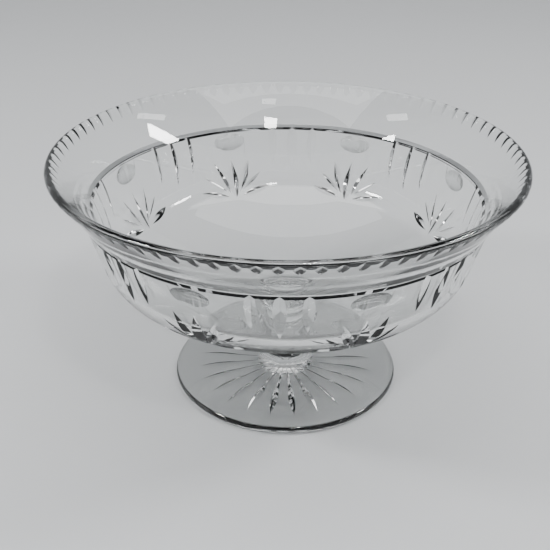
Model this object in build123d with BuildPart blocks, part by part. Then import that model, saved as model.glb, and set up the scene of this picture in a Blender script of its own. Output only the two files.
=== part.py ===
"""Footed cut-crystal bowl: three pieces of glass (bowl, stem, foot) that are fused hot.

The origin is on the surface that the foot stands on, on the axis of the bowl. +Z is up.
The cuts are made as a glass cutter makes them, with wheels: a mitre wheel has a V edge and
leaves a pointed leaf, and a crowned wheel leaves a shallow oval hollow.
"""
import math
import os

from build123d import *

# Driving dimensions, in millimetres and degrees
RIM_RADIUS = 125.0
HEIGHT = 137.0
RIM_ROUND = 2.2  # radius of the rounded rim edge
RIM_SLOPE = 49.6  # slope of the flare at the rim, from the horizontal
SHOULDER_Z = 111.0  # ring groove between the wall and the flare
GROOVE_RADIUS = 107.2  # bottom of that groove
FLARE_FOOT_RADIUS = 109.6  # upper edge of the groove, where the flare starts
GROOVE_BELOW = 1.4  # height of the groove under the shoulder
GROOVE_ABOVE = 1.2
CREASE_ABOVE = 1.5  # the crease inside lies this far over the shoulder
HEEL_Z = 84.5  # here the straight wall ends and the rounded heel starts
HEEL_WALL_RADIUS = 101.0  # outside radius of the wall at that height
WALL_SLOPE = 74.0
WALL = 6.0  # thickness of the wall before it is cut
HEEL_ROUND = 27.0  # outside radius of the heel
BOTTOM_Z = 54.1  # lowest point of the inside
UNDERSIDE_Z = 44.3  # lowest point of the outside, if it went on under the stem
SEAT_RADIUS = 16.0  # where the stem is fused to it
COLLAR_Z = 12.5  # top of the foot, where the stem starts
COLLAR_RADIUS = 13.0
BOSS_RADIUS = 22.5  # where the rising middle of the foot starts
BOSS_Z = 7.4
KNOP_RADIUS = 14.0
KNOP_Z = 28.0
KNOP_HALF_HEIGHT = 5.0
WAIST_RADIUS = 10.4  # narrowest place, under the knop
WAIST_Z = 21.0
NECK_RADIUS = 10.9  # narrow place over the knop, and the knop's own ends
NECK_Z = 36.5
FOOT_RADIUS = 64.5
FOOT_ROUND = 2.2
BEARING_RADIUS = 54.0  # inside radius of the flat ring that the foot stands on
UNDER_RISE = 1.0  # how far the underside of the foot is hollowed at its middle

# Cut pattern. Angles are in degrees from the middle of the group that a cut belongs to.
REPEATS = 8
FAN_OFFSET = 180.0 / REPEATS  # a fan stands midway between two groups of flutes
FLUTE_TOP_Z = 110.2  # a flute runs out into the ring groove
FLUTE_TOP_DEPTH = 1.1
FLUTE_STEP = 7.0  # between the three flutes of a group
MIDDLE_FLUTE_LOW = 85.0
SIDE_FLUTE_LOW = 89.0
# A leaf of a fan: angle and height at its top, the same at its foot, and radius of the wheel
MIDDLE_LEAF = (0.0, 93.0, 0.0, 70.2, 400)
SIDE_LEAVES = (
    (6.5, 92.0, 2.0, 73.0, 150),
    (10.7, 84.0, 3.2, 74.0, 600),
    (13.8, 75.5, 3.0, 71.0, 35),
)
THUMB_TOP_Z = 109.3
THUMB_LOW_Z = 98.8
THUMB_WHEEL = 12.0
THUMB_CROWN = 60.0
NOTCHES = 88
NOTCH_START = 8.0  # how far up the rounded rim edge a notch starts, in degrees
NOTCH_END = (121.0, 129.2)  # radius and height of its lower point, on the flare
STAR_RAYS = 24
RAY_INNER = (4.0, 1.0)  # radius and height of the inner end of a ray of the star
RAY_LEAF_INNER = (24.0, 0.7)
RAY_TIP = (49.5, 0.3)
FRONT = -90.0  # direction of the middle flute of the first group, along -Y


def polar(radius, degrees):
    """Horizontal and vertical parts of a length that rises at an angle."""
    return radius * math.cos(math.radians(degrees)), radius * math.sin(math.radians(degrees))


def dome(lowest, heel_round):
    """Radius of the sphere that meets a heel smoothly, and the slope where they meet."""
    rise = heel_center[1] - lowest
    sphere = (heel_center[0] ** 2 + rise**2 - heel_round**2) / (2 * (rise - heel_round))
    return sphere, math.degrees(math.asin(heel_center[0] / (sphere - heel_round)))


# Section points of the bowl, as (radius, height)
rim_center = (RIM_RADIUS - RIM_ROUND, HEIGHT - RIM_ROUND)
wall_normal = polar(1.0, WALL_SLOPE - 90)
heel_center = (
    HEEL_WALL_RADIUS - HEEL_ROUND * wall_normal[0],
    HEEL_Z - HEEL_ROUND * wall_normal[1],
)
under_sphere, under_slope = dome(UNDERSIDE_Z, HEEL_ROUND)
inner_sphere, inner_slope = dome(BOTTOM_Z, HEEL_ROUND - WALL)
seat_angle = math.degrees(math.asin(SEAT_RADIUS / under_sphere))
seat_z = UNDERSIDE_Z + under_sphere * (1 - math.cos(math.radians(seat_angle)))


def wall_radius(height):
    """Outside radius of the wall, or of the heel under it, before cutting."""
    if height >= HEEL_Z:
        return HEEL_WALL_RADIUS + (height - HEEL_Z) / math.tan(math.radians(WALL_SLOPE))
    return heel_center[0] + math.sqrt(HEEL_ROUND**2 - (heel_center[1] - height) ** 2)


def spot(degrees, height):
    """Point on the outside of the wall, counted from the front."""
    x, y = polar(wall_radius(height), FRONT + degrees)
    return Vector(x, y, height)


def away(degrees, height):
    """Direction that points out of the glass at that spot."""
    if height >= HEEL_Z:
        lean, drop = wall_normal
    else:
        lean = (wall_radius(height) - heel_center[0]) / HEEL_ROUND
        drop = (height - heel_center[1]) / HEEL_ROUND
    x, y = polar(lean, FRONT + degrees)
    return Vector(x, y, drop)


def wheel_cut(start, end, outward, wheel, section):
    """Solid that a wheel sweeps: its edge runs through both points and deeper between them.

    section gives the outline of the wheel's edge as (radius, distance along the axle).
    """
    run = end - start
    along = run.normalized()
    lift = (outward - along * outward.dot(along)).normalized()
    hub = (start + end) * 0.5 + lift * math.sqrt(wheel**2 - (run.length / 2) ** 2)
    axle = (start - hub).cross(end - hub).normalized()
    overrun = 0.04 * (start - hub).get_angle(end - hub)
    first = (start - hub).normalized().rotate(Axis((0, 0, 0), axle), -overrun)
    with BuildPart() as cutter:
        with BuildSketch(Plane(hub, x_dir=first, z_dir=first.cross(axle))):
            with BuildLine():
                section()
            make_face()
        revolve(axis=Axis(hub, axle), revolution_arc=(start - hub).get_angle(end - hub) + 2 * overrun)
    return cutter.part


def mitre(start, end, outward, wheel, half_angle, clear=3.6):
    """Leaf-shaped V cut between two points."""
    half_width = clear * math.tan(math.radians(half_angle))

    def section():
        Polyline(
            (wheel, 0),
            (wheel - clear, half_width),
            (wheel - clear, -half_width),
            close=True,
        )

    return wheel_cut(start, end, outward, wheel, section)


def hollow(start, end, outward, wheel, crown, half_width):
    """Shallow oval cut of a crowned wheel."""
    drop = crown - math.sqrt(crown**2 - half_width**2)
    back = wheel - drop - 2.0

    def section():
        ThreePointArc((wheel - drop, -half_width), (wheel, 0), (wheel - drop, half_width))
        Polyline(
            (wheel - drop, half_width),
            (back, half_width),
            (back, -half_width),
            (wheel - drop, -half_width),
        )

    return wheel_cut(start, end, outward, wheel, section)


# One repeat of the cutting on the wall
def flute(degrees, low, wheel):
    """Upright leaf with its point at the bottom: it gets wider up to the ring groove."""
    outward = away(degrees, (FLUTE_TOP_Z + low) / 2)
    top = spot(degrees, FLUTE_TOP_Z) - outward * FLUTE_TOP_DEPTH
    return mitre(top, spot(degrees, low), outward, wheel, half_angle=62, clear=2.8)


def fan_leaf(side, leaf):
    """Leaf of a fan: it rises from the heel, and leans away from the middle of the fan."""
    turn, top, foot_turn, foot_z, wheel = leaf
    start = spot(FAN_OFFSET + side * turn, top)
    end = spot(FAN_OFFSET + side * foot_turn, foot_z)
    outward = away(FAN_OFFSET + side * (turn + foot_turn) / 2, (top + foot_z) / 2)
    return mitre(start, end, outward, wheel, half_angle=53)


flutes = [
    flute(-FLUTE_STEP, SIDE_FLUTE_LOW, wheel=66),
    flute(0, MIDDLE_FLUTE_LOW, wheel=73),
    flute(FLUTE_STEP, SIDE_FLUTE_LOW, wheel=66),
]
fan = [fan_leaf(1, MIDDLE_LEAF)]
for side in (-1, 1):
    for leaf in SIDE_LEAVES:
        fan.append(fan_leaf(side, leaf))
thumb_cut = hollow(
    spot(FAN_OFFSET, THUMB_TOP_Z),
    spot(FAN_OFFSET, THUMB_LOW_Z),
    away(FAN_OFFSET, (THUMB_TOP_Z + THUMB_LOW_Z) / 2),
    THUMB_WHEEL,
    THUMB_CROWN,
    half_width=12,
)
notch_out, notch_up = polar(RIM_ROUND, NOTCH_START)
rim_x, rim_y = polar(1.0, FRONT)
notch_radius = rim_center[0] + notch_out
notch = mitre(
    Vector(notch_radius * rim_x, notch_radius * rim_y, rim_center[1] + notch_up),
    Vector(NOTCH_END[0] * rim_x, NOTCH_END[0] * rim_y, NOTCH_END[1]),
    Vector(rim_x, rim_y, -0.5),
    wheel=20,
    half_angle=75,
    clear=1.1,
)

with BuildPart() as bowl:
    with BuildSketch(Plane.XZ):
        with BuildLine():
            # underside, heel and wall
            seat = Line((0, seat_z), (SEAT_RADIUS, seat_z))
            CenterArc(
                (0, UNDERSIDE_Z + under_sphere),
                under_sphere,
                start_angle=seat_angle - 90,
                arc_size=under_slope - seat_angle,
            )
            heel = CenterArc(
                heel_center,
                HEEL_ROUND,
                start_angle=under_slope - 90,
                arc_size=WALL_SLOPE - under_slope,
            )
            groove_foot_z = SHOULDER_Z - GROOVE_BELOW
            groove_low = (wall_radius(groove_foot_z), groove_foot_z)
            wall = Line(heel @ 1, groove_low)
            # ring groove, flare and rounded rim
            groove_high = (FLARE_FOOT_RADIUS, SHOULDER_Z + GROOVE_ABOVE)
            groove = Polyline(wall @ 1, (GROOVE_RADIUS, SHOULDER_Z), groove_high)
            outer_edge = (
                rim_center[0] + RIM_ROUND * math.sin(math.radians(RIM_SLOPE)),
                rim_center[1] - RIM_ROUND * math.cos(math.radians(RIM_SLOPE)),
            )
            inner_edge = (2 * rim_center[0] - outer_edge[0], 2 * rim_center[1] - outer_edge[1])
            slope = polar(1.0, RIM_SLOPE)
            flare = TangentArc(outer_edge, groove @ 1, tangent=(-slope[0], -slope[1]))
            rim = TangentArc(flare @ 0, inner_edge, tangent=slope)
            # inside
            inner_wall_foot = (
                HEEL_WALL_RADIUS - WALL * wall_normal[0],
                HEEL_Z - WALL * wall_normal[1],
            )
            crease_height = SHOULDER_Z + CREASE_ABOVE
            rise = (crease_height - inner_wall_foot[1]) / math.tan(math.radians(WALL_SLOPE))
            crease = (inner_wall_foot[0] + rise, crease_height)
            inner_flare = TangentArc(rim @ 1, crease, tangent=(-slope[0], -slope[1]))
            Line(inner_flare @ 1, inner_wall_foot)
            CenterArc(
                heel_center,
                HEEL_ROUND - WALL,
                start_angle=inner_slope - 90,
                arc_size=WALL_SLOPE - inner_slope,
            )
            bottom = CenterArc(
                (0, BOTTOM_Z + inner_sphere),
                inner_sphere,
                start_angle=-90,
                arc_size=inner_slope,
            )
            Line(bottom @ 0, seat @ 0)
        make_face()
    revolve(axis=Axis.Z)
    with PolarLocations(0, REPEATS):
        add(flutes, mode=Mode.SUBTRACT)
        add(fan, mode=Mode.SUBTRACT)
        add(thumb_cut, mode=Mode.SUBTRACT)
    with PolarLocations(0, NOTCHES):
        add(notch, mode=Mode.SUBTRACT)
bowl.part.label = "bowl"

with BuildPart() as stem:
    with BuildSketch(Plane.XZ):
        with BuildLine():
            base = Line((0, COLLAR_Z), (COLLAR_RADIUS, COLLAR_Z))
            lower_waist = TangentArc((WAIST_RADIUS, WAIST_Z), base @ 1, tangent=(0, -1))
            knop = ThreePointArc(
                (NECK_RADIUS, KNOP_Z - KNOP_HALF_HEIGHT),
                (KNOP_RADIUS, KNOP_Z),
                (NECK_RADIUS, KNOP_Z + KNOP_HALF_HEIGHT),
            )
            Line(lower_waist @ 0, knop @ 0)
            neck = Line(knop @ 1, (NECK_RADIUS, NECK_Z))
            upper_waist = TangentArc(neck @ 1, (SEAT_RADIUS, seat_z), tangent=(0, 1))
            top = Line(upper_waist @ 1, (0, seat_z))
            Line(top @ 1, base @ 0)
        make_face()
    revolve(axis=Axis.Z)
stem.part.label = "stem"


def ray_cuts():
    """One ray of the star under the foot: a long shallow cut with a deeper leaf at its tip."""
    rx, ry = polar(1.0, FRONT + 180.0 / STAR_RAYS)
    down = Vector(0, 0, -1)
    inner = Vector(RAY_INNER[0] * rx, RAY_INNER[0] * ry, RAY_INNER[1])
    middle = Vector(RAY_LEAF_INNER[0] * rx, RAY_LEAF_INNER[0] * ry, RAY_LEAF_INNER[1])
    tip = Vector(RAY_TIP[0] * rx, RAY_TIP[0] * ry, RAY_TIP[1])
    return [
        mitre(inner, tip, down, wheel=270, half_angle=50, clear=2.6),
        mitre(middle, tip, down, wheel=50, half_angle=50, clear=3.0),
    ]


star_ray = ray_cuts()
under_foot_sphere = (BEARING_RADIUS**2 + UNDER_RISE**2) / (2 * UNDER_RISE)

with BuildPart() as foot:
    with BuildSketch(Plane.XZ):
        with BuildLine():
            edge_center = (FOOT_RADIUS - FOOT_ROUND, FOOT_ROUND)
            hollow_under = CenterArc(
                (0, UNDER_RISE - under_foot_sphere),
                under_foot_sphere,
                start_angle=90,
                arc_size=-math.degrees(math.asin(BEARING_RADIUS / under_foot_sphere)),
            )
            bearing = Line(hollow_under @ 1, (edge_center[0], 0))
            edge = ThreePointArc(
                bearing @ 1, (FOOT_RADIUS, FOOT_ROUND), (edge_center[0], 2 * FOOT_ROUND)
            )
            slope_top = Line(edge @ 1, (BOSS_RADIUS, BOSS_Z))
            boss = TangentArc(slope_top @ 1, (COLLAR_RADIUS, COLLAR_Z), tangent=slope_top % 1)
            collar = Line(boss @ 1, (0, COLLAR_Z))
            Line(collar @ 1, hollow_under @ 0)
        make_face()
    revolve(axis=Axis.Z)
    with PolarLocations(0, STAR_RAYS):
        add(star_ray, mode=Mode.SUBTRACT)
foot.part.label = "foot"

os.makedirs("parts", exist_ok=True)
export_step(bowl.part, "parts/bowl.step")
export_step(stem.part, "parts/stem.step")
export_step(foot.part, "parts/foot.step")
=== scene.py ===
"""Looks of the footed cut-crystal bowl: three pieces of clear glass, cut with wheels.

Everything is in metres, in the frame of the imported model: the origin is on the surface that
the foot stands on, on the axis of the bowl, and +Z is up. A point of an outline is (radius,
height, and the two parts of the normal there). An outline is a list of smooth runs, and it
has a crease wherever one run ends and the next begins.
"""

import math

import bpy
import numpy as np
from mathutils import Matrix, Vector


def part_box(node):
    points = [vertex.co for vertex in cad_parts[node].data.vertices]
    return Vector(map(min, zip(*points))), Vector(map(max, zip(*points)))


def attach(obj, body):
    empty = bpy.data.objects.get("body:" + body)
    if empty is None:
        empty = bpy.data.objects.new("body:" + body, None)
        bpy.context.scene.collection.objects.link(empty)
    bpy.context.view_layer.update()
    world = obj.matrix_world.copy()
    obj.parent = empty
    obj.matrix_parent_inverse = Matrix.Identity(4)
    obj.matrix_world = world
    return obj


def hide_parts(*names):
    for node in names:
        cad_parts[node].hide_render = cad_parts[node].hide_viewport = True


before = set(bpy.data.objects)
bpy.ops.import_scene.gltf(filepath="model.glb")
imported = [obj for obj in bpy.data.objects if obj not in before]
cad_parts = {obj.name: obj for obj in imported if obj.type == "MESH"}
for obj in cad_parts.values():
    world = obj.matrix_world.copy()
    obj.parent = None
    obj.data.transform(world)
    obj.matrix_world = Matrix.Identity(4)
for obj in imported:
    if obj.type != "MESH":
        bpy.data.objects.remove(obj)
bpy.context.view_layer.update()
MM = 0.001

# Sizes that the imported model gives
RIM_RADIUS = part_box("bowl")[1].x
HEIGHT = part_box("bowl")[1].z
FOOT_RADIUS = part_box("foot")[1].x
COLLAR_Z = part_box("foot")[1].z
SEAT_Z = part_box("stem")[1].z
SEAT_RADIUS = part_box("stem")[1].x

# Sizes of the sections
RIM_ROUND = 2.2 * MM
RIM_SLOPE = 49.6
SHOULDER_Z = 111.0 * MM
GROOVE_RADIUS = 107.2 * MM
FLARE_FOOT_RADIUS = 109.6 * MM
GROOVE_BELOW = 1.4 * MM
GROOVE_ABOVE = 1.2 * MM
CREASE_ABOVE = 1.5 * MM
HEEL_Z = 84.5 * MM
HEEL_WALL_RADIUS = 101.0 * MM
WALL_SLOPE = 74.0
WALL = 6.0 * MM
HEEL_ROUND = 27.0 * MM
BOTTOM_Z = 54.1 * MM
UNDERSIDE_Z = 44.3 * MM
COLLAR_RADIUS = 13.0 * MM
BOSS_RADIUS = 22.5 * MM
BOSS_Z = 7.4 * MM
KNOP_RADIUS = 14.0 * MM
KNOP_Z = 28.0 * MM
KNOP_HALF_HEIGHT = 5.0 * MM
WAIST_RADIUS = 10.4 * MM
WAIST_Z = 21.0 * MM
NECK_RADIUS = 10.9 * MM
NECK_Z = 36.5 * MM
FOOT_ROUND = 2.2 * MM
BEARING_RADIUS = 54.0 * MM
UNDER_RISE = 1.0 * MM

# Cut pattern. Angles are in degrees from the middle of the group that a cut belongs to.
REPEATS = 8
FAN_OFFSET = 180.0 / REPEATS  # a fan stands midway between two groups of flutes
FLUTE_TOP_Z = 110.2 * MM  # a flute runs out into the ring groove
FLUTE_TOP_DEPTH = 1.1 * MM
FLUTE_STEP = 7.0
MIDDLE_FLUTE_LOW = 85.0 * MM
SIDE_FLUTE_LOW = 89.0 * MM
MIDDLE_FLUTE_WHEEL = 73 * MM
SIDE_FLUTE_WHEEL = 66 * MM
# A leaf of a fan: angle and height at its top, the same at its foot, and radius of the wheel
MIDDLE_LEAF = (0.0, 93.0 * MM, 0.0, 70.2 * MM, 400 * MM)
SIDE_LEAVES = (
    (6.5, 92.0 * MM, 2.0, 73.0 * MM, 150 * MM),
    (10.7, 84.0 * MM, 3.2, 74.0 * MM, 600 * MM),
    (13.8, 75.5 * MM, 3.0, 71.0 * MM, 35 * MM),
)
THUMB_TOP_Z = 109.3 * MM
THUMB_LOW_Z = 98.8 * MM
THUMB_WHEEL = 12.0 * MM
THUMB_CROWN = 60.0 * MM
THUMB_HALF_WIDTH = 12 * MM
NOTCHES = 88
NOTCH_START = 8.0  # how far up the rounded rim edge a notch starts
NOTCH_END = (121.0 * MM, 129.2 * MM)  # radius and height of its lower point, on the flare
NOTCH_DROP = 0.5  # the wheel comes from outside and below: this far down for each 1 outwards
NOTCH_WHEEL = 20 * MM
STAR_RAYS = 24
RAY_INNER = (4.0 * MM, 1.0 * MM)  # radius and height of the inner end of a ray of the star
RAY_LEAF_INNER = (24.0 * MM, 0.7 * MM)
RAY_TIP = (49.5 * MM, 0.3 * MM)
RAY_WHEEL = 270 * MM
RAY_LEAF_WHEEL = 50 * MM
FRONT = -90.0  # direction of the middle flute of the first group, along -Y

# V edge of each kind of wheel: half of its angle, and how far its sides reach in
FLUTE_EDGE = (62, 2.8 * MM)
LEAF_EDGE = (53, 3.6 * MM)
NOTCH_EDGE = (75, 1.1 * MM)
RAY_EDGE = (50, 2.6 * MM)
RAY_LEAF_EDGE = (50, 3.0 * MM)

# Fineness of the meshes
SEGMENTS = 480  # around the axis
ARC_STEP = 2.4  # degrees between the rows of an arc
UNDER_STEPS = 24  # rows of the hollow under the foot
SWEEP_STEPS = 18  # sections along one wheel cut
CROWN_STEPS = 16  # across the edge of the crowned wheel
CREASE_ANGLE = 20.0  # an edge between cut faces is sharp from here
OVERRUN = 0.04  # share of a wheel cut that its cutter goes on past each end
CROWN_BACK = 2 * MM  # thickness of the crowned cutter behind the edge's lowest part

# Material slots of each piece
POLISHED, CUT, GROUND, FUSED = range(4)
FROM_WHEEL = -1  # stands in for a run's number on the faces that a wheel made

# Each kind of surface: least roughness, how much more it has in places, size of the
# waviness, and its height
POLISHED_LOOK = (0.0, 0.006, 22 * MM, 0.02 * MM)
CUT_LOOK = (0.004, 0.012, 2.5 * MM, 0.002 * MM)
GROUND_LOOK = (0.03, 0.06, 1.2 * MM, 0.004 * MM)
GLASS_IOR = 1.545
DEEPER_TINT = (0.972, 0.986, 0.98, 1)
PALER_TINT = (0.992, 0.994, 0.99, 1)
NOISE_DETAIL = 3
NOISE_RANGE = (0.3, 0.7)  # nearly all of the noise lies between these

# The set
FLOOR_FLAT = 1.3  # radius of the flat part
FLOOR_SWEEP = 0.5  # radius of the curve up into the backdrop
FLOOR_TOP = 1.6  # height of the backdrop
FLOOR_DROP = 0.1 * MM  # keeps the floor clear of the glass that stands on it
FLOOR_AROUND = 96  # divisions round the floor
FLOOR_ARC = 12  # rows of the curve up
FLOOR_COLOR = (0.62, 0.63, 0.64)
FLOOR_ROUGHNESS = 0.6
FLOOR_SPECULAR = 0.2
ROOM_COLOR = (0.8, 0.82, 0.85, 1)
ROOM_STRENGTH = 0.22
# A lamp: name, azimuth, elevation, distance, size, and power in watts
LAMPS = (
    ("right", 83, 41, 1.2, (0.30, 0.08), 6),
    ("left", -105, 43, 1.2, (0.22, 0.10), 6),
    ("front", 164, 56, 1.3, (0.13, 0.10), 3),
    ("ceiling", 180, 86, 1.7, (2.0, 1.6), 26),
)
# The camera. Its angles are in degrees, and its lens and sensor in millimetres.
CAMERA_BEARING = 1.5  # counted from the front
CAMERA_DISTANCE = 3.526 * RIM_RADIUS  # from the axis
CAMERA_HEIGHT = 2.238 * HEIGHT
CAMERA_TILT = 29.02  # how far it looks down
CAMERA_PAN = -0.82
CAMERA_ROLL = 0.25
CAMERA_LENS = 58.38
SENSOR_WIDTH = 36
CAMERA_CLIP = (0.01, 20)


def polar(radius, degrees):
    """Horizontal and vertical parts of a length that rises at an angle."""
    return radius * math.cos(math.radians(degrees)), radius * math.sin(math.radians(degrees))


# ---------------------------------------------------------------- outlines
def line(start, end):
    """Straight stretch of an outline."""
    run = Vector(end[:2]) - Vector(start[:2])
    normal = Vector((run.y, -run.x)).normalized()
    return [(*start[:2], *normal), (*end[:2], *normal)]


def arc(center, radius, start, size):
    """Arc of an outline, from the angle start through size degrees."""
    steps = max(2, math.ceil(abs(size) / ARC_STEP))
    side = 1 if size > 0 else -1
    made = []
    for i in range(steps + 1):
        x, y = polar(1.0, start + size * i / steps)
        made.append((center[0] + radius * x, center[1] + radius * y, side * x, side * y))
    return made


def arc_about(center, start, end):
    """The shorter arc about that centre."""
    first, last = Vector(start[:2]) - Vector(center), Vector(end[:2]) - Vector(center)
    turn = math.degrees(math.atan2(first.x * last.y - first.y * last.x, first.dot(last)))
    return arc(center, first.length, math.degrees(math.atan2(first.y, first.x)), turn)


def tangent_arc(start, end, slope):
    """Arc that leaves start in the direction slope and reaches end."""
    normal = Vector(polar(1.0, slope + 90))
    chord = Vector(end[:2]) - Vector(start[:2])
    radius = chord.length_squared / (2 * chord.dot(normal))
    return arc_about(tuple(Vector(start[:2]) + normal * radius), start, end)


def backwards(points):
    """The same stretch from its end to its start, with the glass on the other side."""
    return [(r, z, -nr, -nz) for r, z, nr, nz in reversed(points)]


def bulge(start, end, height):
    """Arc that stands out from its chord by that height, on the outer side."""
    half = (Vector(end) - Vector(start)) / 2
    radius = (half.length_squared / height + height) / 2
    inward = Vector((-half.y, half.x)).normalized()
    return arc_about(tuple(Vector(start) + half + inward * (radius - height)), start, end)


# Places on the section of the bowl
rim_center = (RIM_RADIUS - RIM_ROUND, HEIGHT - RIM_ROUND)
wall_normal = polar(1.0, WALL_SLOPE - 90)
heel_center = (
    HEEL_WALL_RADIUS - HEEL_ROUND * wall_normal[0],
    HEEL_Z - HEEL_ROUND * wall_normal[1],
)


def dome(lowest, heel_round):
    """Radius of the sphere that meets a heel smoothly, and the slope where they meet."""
    rise = heel_center[1] - lowest
    sphere = (heel_center[0] ** 2 + rise**2 - heel_round**2) / (2 * (rise - heel_round))
    return sphere, math.degrees(math.asin(heel_center[0] / (sphere - heel_round)))


def wall_radius(height):
    """Outside radius of the wall, or of the heel under it, before cutting."""
    if height >= HEEL_Z:
        return HEEL_WALL_RADIUS + (height - HEEL_Z) / math.tan(math.radians(WALL_SLOPE))
    return heel_center[0] + math.sqrt(HEEL_ROUND**2 - (heel_center[1] - height) ** 2)


def bowl_outline():
    """Runs of the section of the bowl, each with its material."""
    under_sphere, under_slope = dome(UNDERSIDE_Z, HEEL_ROUND)
    inner_sphere, inner_slope = dome(BOTTOM_Z, HEEL_ROUND - WALL)
    seat_angle = math.degrees(math.asin(SEAT_RADIUS / under_sphere))
    under_center = (0, UNDERSIDE_Z + under_sphere)
    underside = arc(under_center, under_sphere, seat_angle - 90, under_slope - seat_angle)
    heel = arc(heel_center, HEEL_ROUND, under_slope - 90, WALL_SLOPE - under_slope)
    groove_low = (wall_radius(SHOULDER_Z - GROOVE_BELOW), SHOULDER_Z - GROOVE_BELOW)
    groove_deep = (GROOVE_RADIUS, SHOULDER_Z)
    groove_high = (FLARE_FOOT_RADIUS, SHOULDER_Z + GROOVE_ABOVE)
    rim = arc(rim_center, RIM_ROUND, RIM_SLOPE - 90, 180)
    inner_wall_foot = (
        HEEL_WALL_RADIUS - WALL * wall_normal[0],
        HEEL_Z - WALL * wall_normal[1],
    )
    crease_z = SHOULDER_Z + CREASE_ABOVE
    rise = (crease_z - inner_wall_foot[1]) / math.tan(math.radians(WALL_SLOPE))
    crease = (inner_wall_foot[0] + rise, crease_z)
    flare = backwards(tangent_arc(rim[0], groove_high, RIM_SLOPE + 180))
    inner_flare = tangent_arc(rim[-1], crease, RIM_SLOPE + 180)
    inner_heel = arc(heel_center, HEEL_ROUND - WALL, WALL_SLOPE - 90, inner_slope - WALL_SLOPE)
    bottom = arc((0, BOTTOM_Z + inner_sphere), inner_sphere, inner_slope - 90, -inner_slope)
    return [
        (line((0, underside[0][1]), underside[0]), FUSED),
        (underside + heel[1:] + line(heel[-1], groove_low)[1:], POLISHED),
        (line(groove_low, groove_deep), CUT),
        (line(groove_deep, groove_high), CUT),
        (flare + rim[1:] + inner_flare[1:], POLISHED),
        (line(crease, inner_heel[0])[:1] + inner_heel + bottom[1:], POLISHED),
    ]


def stem_outline():
    """Runs of the section of the stem: a waist, a knop and a second waist."""
    waist = backwards(tangent_arc((WAIST_RADIUS, WAIST_Z), (COLLAR_RADIUS, COLLAR_Z), -90))
    knop_foot = (NECK_RADIUS, KNOP_Z - KNOP_HALF_HEIGHT)
    knop_top = (NECK_RADIUS, KNOP_Z + KNOP_HALF_HEIGHT)
    knop = bulge(knop_foot, knop_top, KNOP_RADIUS - NECK_RADIUS)
    neck = line(knop_top, (NECK_RADIUS, NECK_Z))
    upper = neck + tangent_arc(neck[-1], (SEAT_RADIUS, SEAT_Z), 90)[1:]
    return [
        (line((0, COLLAR_Z), waist[0]), FUSED),
        (waist + line(waist[-1], knop[0])[1:], POLISHED),
        (knop, POLISHED),
        (upper, POLISHED),
        (line(upper[-1], (0, SEAT_Z)), FUSED),
    ]


def foot_outline():
    """Runs of the section of the foot, from the middle of its underside to the collar."""
    sphere = (BEARING_RADIUS**2 + UNDER_RISE**2) / (2 * UNDER_RISE)
    reach = math.asin(BEARING_RADIUS / sphere)
    under = []
    for i in range(UNDER_STEPS + 1):
        x, y = math.sin(reach * i / UNDER_STEPS), math.cos(reach * i / UNDER_STEPS)
        under.append((sphere * x, UNDER_RISE - sphere + sphere * y, -x, -y))
    edge = arc((FOOT_RADIUS - FOOT_ROUND, FOOT_ROUND), FOOT_ROUND, -90, 180)
    boss_start = (BOSS_RADIUS, BOSS_Z)
    slope_top = line(edge[-1], boss_start)
    along = Vector(boss_start) - Vector(edge[-1][:2])
    slope = math.degrees(math.atan2(along.y, along.x))
    boss = tangent_arc(boss_start, (COLLAR_RADIUS, COLLAR_Z), slope)
    return [
        (under, POLISHED),
        (line(under[-1], edge[0]), GROUND),
        (edge, POLISHED),
        (slope_top[:1] + boss, POLISHED),
        (line(boss[-1], (0, COLLAR_Z)), FUSED),
    ]


# ---------------------------------------------------------------- meshes
def new_object(name, verts, faces, slots, runs):
    """Object with that mesh, in the scene. Each face knows its material and its run."""
    mesh = bpy.data.meshes.new(name)
    mesh.from_pydata(verts, [], faces)
    for _ in range(FUSED + 1):
        mesh.materials.append(None)
    mesh.polygons.foreach_set("material_index", slots)
    mesh.attributes.new("run", "INT", "FACE").data.foreach_set("value", runs)
    made = bpy.data.objects.new(name, mesh)
    bpy.context.scene.collection.objects.link(made)
    return made


def lathe(name, outline):
    """Closed mesh turned from an outline that starts and ends on the axis."""
    rows = [outline[0][0][0]]
    bands = []
    for number, (points, material) in enumerate(outline):
        rows.extend(points[1:])
        bands.extend([(number, material)] * (len(points) - 1))
    circle = [polar(1.0, 360 * j / SEGMENTS) for j in range(SEGMENTS)]
    verts = [(0, 0, rows[0][1])]
    for row in rows[1:-1]:
        verts.extend((row[0] * x, row[0] * y, row[1]) for x, y in circle)
    verts.append((0, 0, rows[-1][1]))
    faces, slots, runs = [], [], []
    for i, (number, material) in enumerate(bands):
        low, high = 1 + (i - 1) * SEGMENTS, 1 + i * SEGMENTS
        for j in range(SEGMENTS):
            k = (j + 1) % SEGMENTS
            if i == 0:
                faces.append((0, high + k, high + j))
            elif i == len(bands) - 1:
                faces.append((low + j, low + k, len(verts) - 1))
            else:
                faces.append((low + j, low + k, high + k, high + j))
            slots.append(material)
            runs.append(number)
    return new_object(name, verts, faces, slots, runs)


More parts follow.
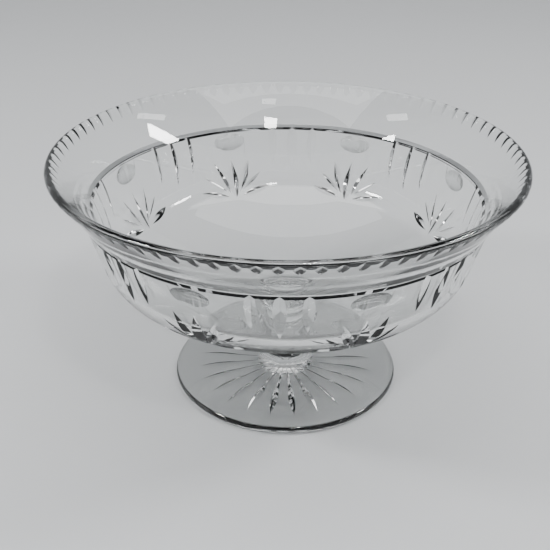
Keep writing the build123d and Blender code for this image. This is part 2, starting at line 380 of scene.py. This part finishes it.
def wheel_cut(start, end, outward, wheel, section):
    """Vertices and faces of what a wheel sweeps: its edge runs through both points.

    section gives the outline of the wheel's edge as (radius, distance along the axle).
    """
    start, end, outward = Vector(start), Vector(end), Vector(outward)
    run = end - start
    along = run.normalized()
    lift = (outward - along * outward.dot(along)).normalized()
    hub = (start + end) * 0.5 + lift * math.sqrt(wheel**2 - (run.length / 2) ** 2)
    axle = (start - hub).cross(end - hub).normalized()
    turn = (start - hub).angle(end - hub)
    verts, faces = [], []
    for i in range(SWEEP_STEPS + 1):
        angle = turn * ((1 + 2 * OVERRUN) * i / SWEEP_STEPS - OVERRUN)
        spoke = Matrix.Rotation(angle, 3, axle) @ (start - hub).normalized()
        verts.extend(tuple(hub + spoke * radius + axle * offset) for radius, offset in section)
    count = len(section)
    for i in range(SWEEP_STEPS):
        for j in range(count):
            k = (j + 1) % count
            a, b = i * count, (i + 1) * count
            faces.append((a + j, b + j, b + k, a + k))
    faces.append(tuple(range(count)))
    faces.append(tuple(range(len(verts) - 1, len(verts) - 1 - count, -1)))
    return verts, faces


def mitre(wheel, edge):
    """Outline of a wheel with a V edge."""
    half_angle, clear = edge
    half_width = clear * math.tan(math.radians(half_angle))
    return [(wheel, 0), (wheel - clear, half_width), (wheel - clear, -half_width)]


def crowned(wheel, crown, half_width):
    """Outline of a wheel with a rounded edge.

    Known fault: its points run the other way round from those of mitre, so the thumb cutter
    is inside out and leaves a lens-shaped shell under the wall instead of a hollow.
    """
    reach = math.asin(half_width / crown)
    edge = []
    for i in range(CROWN_STEPS + 1):
        angle = reach * (2 * i / CROWN_STEPS - 1)
        edge.append((wheel - crown + crown * math.cos(angle), -crown * math.sin(angle)))
    back = edge[0][0] - CROWN_BACK
    return edge + [(back, -half_width), (back, half_width)]


def spot(degrees, height):
    """Point on the outside of the wall, counted from the front."""
    x, y = polar(wall_radius(height), FRONT + degrees)
    return Vector((x, y, height))


def away(degrees, height):
    """Direction that points out of the glass at that spot."""
    if height >= HEEL_Z:
        lean, drop = wall_normal
    else:
        lean = (wall_radius(height) - heel_center[0]) / HEEL_ROUND
        drop = (height - heel_center[1]) / HEEL_ROUND
    x, y = polar(lean, FRONT + degrees)
    return Vector((x, y, drop))


def turned(solid, repeats, first=0, step=1):
    """Copies of a cutter round the axis, as one set of vertices and faces."""
    verts, faces = [], []
    for i in range(first, repeats, step):
        spin = Matrix.Rotation(2 * math.pi * i / repeats, 3, "Z")
        base = len(verts)
        verts.extend(tuple(spin @ Vector(v)) for v in solid[0])
        faces.extend(tuple(base + n for n in f) for f in solid[1])
    return verts, faces


def flute(degrees, low, wheel):
    """Upright leaf with its point at the bottom: it gets wider up to the ring groove."""
    outward = away(degrees, (FLUTE_TOP_Z + low) / 2)
    top = spot(degrees, FLUTE_TOP_Z) - outward * FLUTE_TOP_DEPTH
    return wheel_cut(top, spot(degrees, low), outward, wheel, mitre(wheel, FLUTE_EDGE))


def fan_leaf(side, leaf):
    """Leaf of a fan: it rises from the heel, and leans away from the middle of the fan."""
    turn, top, foot_turn, foot_z, wheel = leaf
    start = spot(FAN_OFFSET + side * turn, top)
    end = spot(FAN_OFFSET + side * foot_turn, foot_z)
    middle = away(FAN_OFFSET + side * (turn + foot_turn) / 2, (top + foot_z) / 2)
    return wheel_cut(start, end, middle, wheel, mitre(wheel, LEAF_EDGE))


def wall_cuts():
    """Cutters of the wall and of the rim, each with its repeats joined."""
    solids = [
        flute(-FLUTE_STEP, SIDE_FLUTE_LOW, SIDE_FLUTE_WHEEL),
        flute(0, MIDDLE_FLUTE_LOW, MIDDLE_FLUTE_WHEEL),
        flute(FLUTE_STEP, SIDE_FLUTE_LOW, SIDE_FLUTE_WHEEL),
        fan_leaf(1, MIDDLE_LEAF),
    ]
    for side in (-1, 1):
        solids.extend(fan_leaf(side, leaf) for leaf in SIDE_LEAVES)
    thumb = wheel_cut(
        spot(FAN_OFFSET, THUMB_TOP_Z),
        spot(FAN_OFFSET, THUMB_LOW_Z),
        away(FAN_OFFSET, (THUMB_TOP_Z + THUMB_LOW_Z) / 2),
        THUMB_WHEEL,
        crowned(THUMB_WHEEL, THUMB_CROWN, THUMB_HALF_WIDTH),
    )
    solids.append(thumb)
    x, y = polar(1.0, FRONT)
    out, up = polar(RIM_ROUND, NOTCH_START)
    radius = rim_center[0] + out
    notch = wheel_cut(
        (radius * x, radius * y, rim_center[1] + up),
        (NOTCH_END[0] * x, NOTCH_END[0] * y, NOTCH_END[1]),
        (x, y, -NOTCH_DROP),
        NOTCH_WHEEL,
        mitre(NOTCH_WHEEL, NOTCH_EDGE),
    )
    return [turned(solid, REPEATS) for solid in solids] + [turned(notch, NOTCHES)]


def star_cuts():
    """Cutters of the star: each ray is a long cut with a deeper leaf at its tip."""
    x, y = polar(1.0, FRONT + 180 / STAR_RAYS)
    inner = (RAY_INNER[0] * x, RAY_INNER[0] * y, RAY_INNER[1])
    middle = (RAY_LEAF_INNER[0] * x, RAY_LEAF_INNER[0] * y, RAY_LEAF_INNER[1])
    tip = (RAY_TIP[0] * x, RAY_TIP[0] * y, RAY_TIP[1])
    down = (0, 0, -1)
    ray = wheel_cut(inner, tip, down, RAY_WHEEL, mitre(RAY_WHEEL, RAY_EDGE))
    leaf = wheel_cut(middle, tip, down, RAY_LEAF_WHEEL, mitre(RAY_LEAF_WHEEL, RAY_LEAF_EDGE))
    single = [turned(ray, STAR_RAYS, i, STAR_RAYS) for i in range(STAR_RAYS)]
    return single + [turned(leaf, STAR_RAYS)]


def carve(piece, solids):
    """Takes the cutters off the piece."""
    tools = []
    for verts, faces in solids:
        tool = new_object("cutter", verts, faces, [CUT] * len(faces), [FROM_WHEEL] * len(faces))
        tools.append(tool)
        boolean = piece.modifiers.new("cut", "BOOLEAN")
        boolean.operation = "DIFFERENCE"
        boolean.solver = "MANIFOLD"
        boolean.object = tool
    evaluated = piece.evaluated_get(bpy.context.evaluated_depsgraph_get())
    carved = bpy.data.meshes.new_from_object(evaluated)
    piece.modifiers.clear()
    piece.data = carved
    for tool in tools:
        bpy.data.objects.remove(tool)


def set_normals(piece, outline):
    """Gives the turned surface the exact normals of its runs, and creases the cuts."""
    mesh = piece.data
    mesh.shade_smooth()
    mesh.set_sharp_from_angle(angle=math.radians(CREASE_ANGLE))
    places = np.zeros(len(mesh.vertices) * 3)
    mesh.vertices.foreach_get("co", places)
    corners = np.zeros(len(mesh.loops), int)
    mesh.loops.foreach_get("vertex_index", corners)
    runs = np.zeros(len(mesh.polygons), int)
    mesh.attributes["run"].data.foreach_get("value", runs)
    sizes = np.zeros(len(mesh.polygons), int)
    mesh.polygons.foreach_get("loop_total", sizes)
    corner_run = np.repeat(runs, sizes)
    corner_place = places.reshape(-1, 3)[corners]
    radius = np.hypot(corner_place[:, 0], corner_place[:, 1])
    turn = np.arctan2(corner_place[:, 1], corner_place[:, 0])
    normals = np.zeros((len(corners), 3))
    for number, (points, _) in enumerate(outline):
        mine = np.flatnonzero(corner_run == number)
        nodes = np.array(points)
        starts, steps = nodes[:-1, :2], np.diff(nodes[:, :2], axis=0)
        here = np.stack([radius[mine], corner_place[mine, 2]], 1)[:, None, :]
        share = ((here - starts) * steps).sum(2) / (steps**2).sum(1)
        share = np.clip(share, 0, 1)
        miss = np.linalg.norm(here - starts - share[..., None] * steps, axis=2)
        best = miss.argmin(1)
        t = share[np.arange(len(mine)), best][:, None]
        flat = nodes[best, 2:] * (1 - t) + nodes[best + 1, 2:] * t
        normals[mine] = np.stack(
            [flat[:, 0] * np.cos(turn[mine]), flat[:, 0] * np.sin(turn[mine]), flat[:, 1]], 1
        )
    lengths = np.linalg.norm(normals, axis=1, keepdims=True)
    normals = np.divide(normals, lengths, out=np.zeros_like(normals), where=lengths > 0)
    mesh.normals_split_custom_set(normals.tolist())
    mesh.attributes.remove(mesh.attributes["run"])


def glass_piece(name, node, outline, solids, materials):
    """One piece of cut glass that stands for a CAD node."""
    piece = lathe(name, outline)
    if solids:
        carve(piece, solids)
    set_normals(piece, outline)
    for i, material in enumerate(materials):
        piece.data.materials[i] = material
    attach(piece, "root")
    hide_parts(node)


# ---------------------------------------------------------------- materials
def new_material(name):
    """Material, its nodes and its Principled shader."""
    made = bpy.data.materials.new(name)
    made.use_nodes = True
    tree = made.node_tree
    return made, tree.nodes, tree.links, tree.nodes["Principled BSDF"]


def glass_material(name, roughness, grain, grain_size, relief):
    """Clear lead glass, with a faint waviness and a tint and roughness that vary a little."""
    made, nodes, links, shader = new_material(name)
    shader.inputs["Transmission Weight"].default_value = 1.0
    shader.inputs["IOR"].default_value = GLASS_IOR
    place = nodes.new("ShaderNodeTexCoord")
    spread = nodes.new("ShaderNodeTexNoise")
    spread.inputs["Scale"].default_value = 1 / grain_size
    spread.inputs["Detail"].default_value = NOISE_DETAIL
    links.new(place.outputs["Object"], spread.inputs["Vector"])
    tint = nodes.new("ShaderNodeMix")
    tint.data_type = "RGBA"
    tint.inputs["A"].default_value = DEEPER_TINT
    tint.inputs["B"].default_value = PALER_TINT
    links.new(spread.outputs["Fac"], tint.inputs["Factor"])
    links.new(tint.outputs["Result"], shader.inputs["Base Color"])
    level = nodes.new("ShaderNodeMapRange")
    level.inputs["From Min"].default_value = NOISE_RANGE[0]
    level.inputs["From Max"].default_value = NOISE_RANGE[1]
    level.inputs["To Min"].default_value = roughness
    level.inputs["To Max"].default_value = roughness + grain
    links.new(spread.outputs["Fac"], level.inputs["Value"])
    links.new(level.outputs["Result"], shader.inputs["Roughness"])
    bump = nodes.new("ShaderNodeBump")
    bump.inputs["Strength"].default_value = 1.0
    bump.inputs["Distance"].default_value = relief
    links.new(spread.outputs["Fac"], bump.inputs["Height"])
    links.new(bump.outputs["Normal"], shader.inputs["Normal"])
    return made


def fused_material():
    """Where two pieces are fused, the glass goes on with no surface between them."""
    made, nodes, links, shader = new_material("crystal_fused")
    nodes.remove(shader)
    clear = nodes.new("ShaderNodeBsdfTransparent")
    links.new(clear.outputs["BSDF"], nodes["Material Output"].inputs["Surface"])
    return made


def floor_material():
    """Plain matt finish of the set."""
    made, _, _, shader = new_material("pale_floor")
    shader.inputs["Roughness"].default_value = FLOOR_ROUGHNESS
    shader.inputs["Specular IOR Level"].default_value = FLOOR_SPECULAR
    shader.inputs["Base Color"].default_value = (*FLOOR_COLOR, 1)
    return made


# ---------------------------------------------------------------- the set
def softbox(name, azimuth, elevation, distance, size, power):
    """Rectangular soft light that faces the bowl. Its azimuth turns from +Y towards +X."""
    data = bpy.data.lights.new(name, "AREA")
    data.shape = "RECTANGLE"
    data.size, data.size_y = size
    data.energy = power
    lamp = bpy.data.objects.new(name, data)
    level, up = polar(distance, elevation)
    toward = Vector((*polar(level, 90 - azimuth), up))
    lamp.location = toward + Vector((0, 0, HEIGHT / 2))
    lamp.rotation_mode = "QUATERNION"
    lamp.rotation_quaternion = toward.to_track_quat("Z", "Y")
    bpy.context.scene.collection.objects.link(lamp)


def add_set():
    """Pale round floor that curves up into a backdrop on every side."""
    profile = []
    for i in range(FLOOR_ARC + 1):
        across, up = polar(FLOOR_SWEEP, 90 * i / FLOOR_ARC - 90)
        profile.append((FLOOR_FLAT + across, FLOOR_SWEEP + up))
    profile.append((FLOOR_FLAT + FLOOR_SWEEP, FLOOR_TOP))
    verts = [(0, 0, -FLOOR_DROP)]
    for radius, z in profile:
        for j in range(FLOOR_AROUND):
            verts.append((*polar(radius, 360 * j / FLOOR_AROUND), z - FLOOR_DROP))
    faces = [(0, 1 + j, 1 + (j + 1) % FLOOR_AROUND) for j in range(FLOOR_AROUND)]
    for i in range(len(profile) - 1):
        low, high = 1 + i * FLOOR_AROUND, 1 + (i + 1) * FLOOR_AROUND
        for j in range(FLOOR_AROUND):
            k = (j + 1) % FLOOR_AROUND
            faces.append((low + j, high + j, high + k, low + k))
    mesh = bpy.data.meshes.new("floor")
    mesh.from_pydata(verts, [], faces)
    mesh.shade_smooth()
    floor = bpy.data.objects.new("floor", mesh)
    bpy.context.scene.collection.objects.link(floor)
    mesh.materials.append(floor_material())


def add_world():
    """Dim, even light of the room."""
    world = bpy.data.worlds.new("room")
    world.use_nodes = True
    background = world.node_tree.nodes["Background"]
    background.inputs["Color"].default_value = ROOM_COLOR
    background.inputs["Strength"].default_value = ROOM_STRENGTH
    bpy.context.scene.world = world


def add_camera():
    """Camera at the viewing angle of the photograph."""
    data = bpy.data.cameras.new("camera")
    data.sensor_width = SENSOR_WIDTH
    data.lens = CAMERA_LENS
    data.clip_start, data.clip_end = CAMERA_CLIP
    camera = bpy.data.objects.new("camera", data)
    bpy.context.scene.collection.objects.link(camera)
    camera.location = (*polar(CAMERA_DISTANCE, FRONT + CAMERA_BEARING), CAMERA_HEIGHT)
    aim = Matrix.Rotation(math.radians(CAMERA_BEARING - CAMERA_PAN), 4, "Z")
    aim = aim @ Matrix.Rotation(math.radians(90 - CAMERA_TILT), 4, "X")
    aim = aim @ Matrix.Rotation(math.radians(CAMERA_ROLL), 4, "Z")
    camera.rotation_mode = "QUATERNION"
    camera.rotation_quaternion = aim.to_quaternion()
    bpy.context.scene.camera = camera


materials = [
    glass_material("crystal_polished", *POLISHED_LOOK),
    glass_material("crystal_cut", *CUT_LOOK),
    glass_material("crystal_ground", *GROUND_LOOK),
    fused_material(),
]
glass_piece("bowl_glass", "bowl", bowl_outline(), wall_cuts(), materials)
glass_piece("stem_glass", "stem", stem_outline(), [], materials)
glass_piece("foot_glass", "foot", foot_outline(), star_cuts(), materials)
add_set()
add_world()
add_camera()
for lamp in LAMPS:
    softbox(*lamp)
